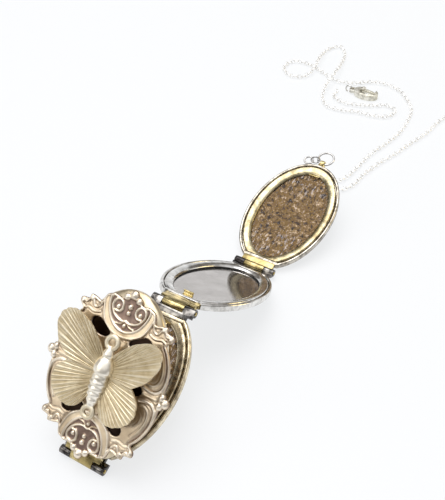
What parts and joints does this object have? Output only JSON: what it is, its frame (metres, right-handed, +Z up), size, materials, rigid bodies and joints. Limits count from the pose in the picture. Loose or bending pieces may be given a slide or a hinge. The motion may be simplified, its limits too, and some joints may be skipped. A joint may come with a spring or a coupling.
{
  "type": "folding picture locket",
  "caption": "Oval locket with a filigree and butterfly front cover that unfolds like an accordion into hinged picture leaves, on a fine chain.",
  "frame": {"origin": "middle of the locket's own box, chain left out, on the surface it stands on", "axes": "+X along the unfolded leaves from the front cover to the back cover and bail, +Y along the hinge pins, +Z up"},
  "size_m": [0.1799, 0.0895, 0.0294],
  "materials": {
    "antique_silver": "silver plated and antiqued, satin polish with darkened recesses",
    "gold_toned_silver": "plated, warm toned and polished",
    "dark_silver": "silver plated, strongly antiqued relief",
    "clear_window": "clear, glossy",
    "picture_card": "crinkled printed card, mottled brown and gold"
  },
  "bodies": {
    "back_cover": {"leaf_d_back_shell": "antique_silver", "leaf_d_picture_card": "picture_card", "leaf_d_window": "clear_window", "leaf_d_retainer": "antique_silver", "hinge_cd_middle_knuckle": "gold_toned_silver", "leaf_d_latch_lip": "gold_toned_silver", "bail": "gold_toned_silver", "chain_clasp_side": "antique_silver", "chain_ring_side": "antique_silver", "chain_end_ring": "antique_silver", "clasp_body": "dark_silver", "clasp_pin": "antique_silver", "clasp_ring": "antique_silver"},
    "frame_c": {"leaf_c_frame": "antique_silver", "leaf_c_picture_card": "picture_card", "leaf_c_window": "clear_window", "leaf_c_retainer": "antique_silver", "hinge_bc_middle_knuckle": "gold_toned_silver", "hinge_cd_outer_knuckles": "antique_silver", "hinge_cd_pin": "gold_toned_silver", "leaf_c_catch_tab": "gold_toned_silver"},
    "frame_b": {"leaf_b_frame": "antique_silver", "leaf_b_picture_card": "picture_card", "leaf_b_window": "clear_window", "leaf_b_retainer": "antique_silver", "hinge_ab_outer_knuckles": "antique_silver", "hinge_ab_pin": "gold_toned_silver", "hinge_bc_outer_knuckles": "antique_silver", "hinge_bc_pin": "gold_toned_silver", "leaf_b_catch_tab": "gold_toned_silver"},
    "front_cover": {"leaf_a_cover_shell": "antique_silver", "leaf_a_picture_card": "picture_card", "leaf_a_window": "clear_window", "leaf_a_retainer": "antique_silver", "hinge_ab_middle_knuckle": "gold_toned_silver", "leaf_a_latch_lip": "gold_toned_silver", "filigree_plate": "dark_silver", "butterfly": "antique_silver"},
    "jump_rings": {"large_jump_ring": "antique_silver", "connecting_link": "antique_silver", "small_jump_ring": "antique_silver"},
    "clasp_lever": {"clasp_lever": "dark_silver"}
  },
  "joints": [
    {"name": "back_hinge", "type": "hinge", "parent": "back_cover", "child": "frame_c", "pos_m": [0.01417, 0, 0.00143], "axis": [0, 1, 0], "range_deg": [-42.4, 137.6]},
    {"name": "middle_hinge", "type": "hinge", "parent": "frame_c", "child": "frame_b", "pos_m": [-0.01843, 0, 0.01558], "axis": [0, -1, 0], "range_deg": [-53.35, 126.65]},
    {"name": "front_hinge", "type": "hinge", "parent": "frame_b", "child": "front_cover", "pos_m": [-0.05079, 0, 0.00089], "axis": [0, 1, 0], "range_deg": [-159.25, 20.75]},
    {"name": "ring_swing", "type": "hinge", "parent": "back_cover", "child": "jump_rings", "pos_m": [0.04867, 0, 0.01047], "axis": [0, 1, 0], "range_deg": [-20, 60]},
    {"name": "clasp_lever_pivot", "type": "hinge", "parent": "back_cover", "child": "clasp_lever", "pos_m": [0.10416, 0.014, 0.00092], "axis": [0, 0, 1], "range_deg": [-18, 0], "stiffness_Nm_per_rad": 0.0005}
  ]
}
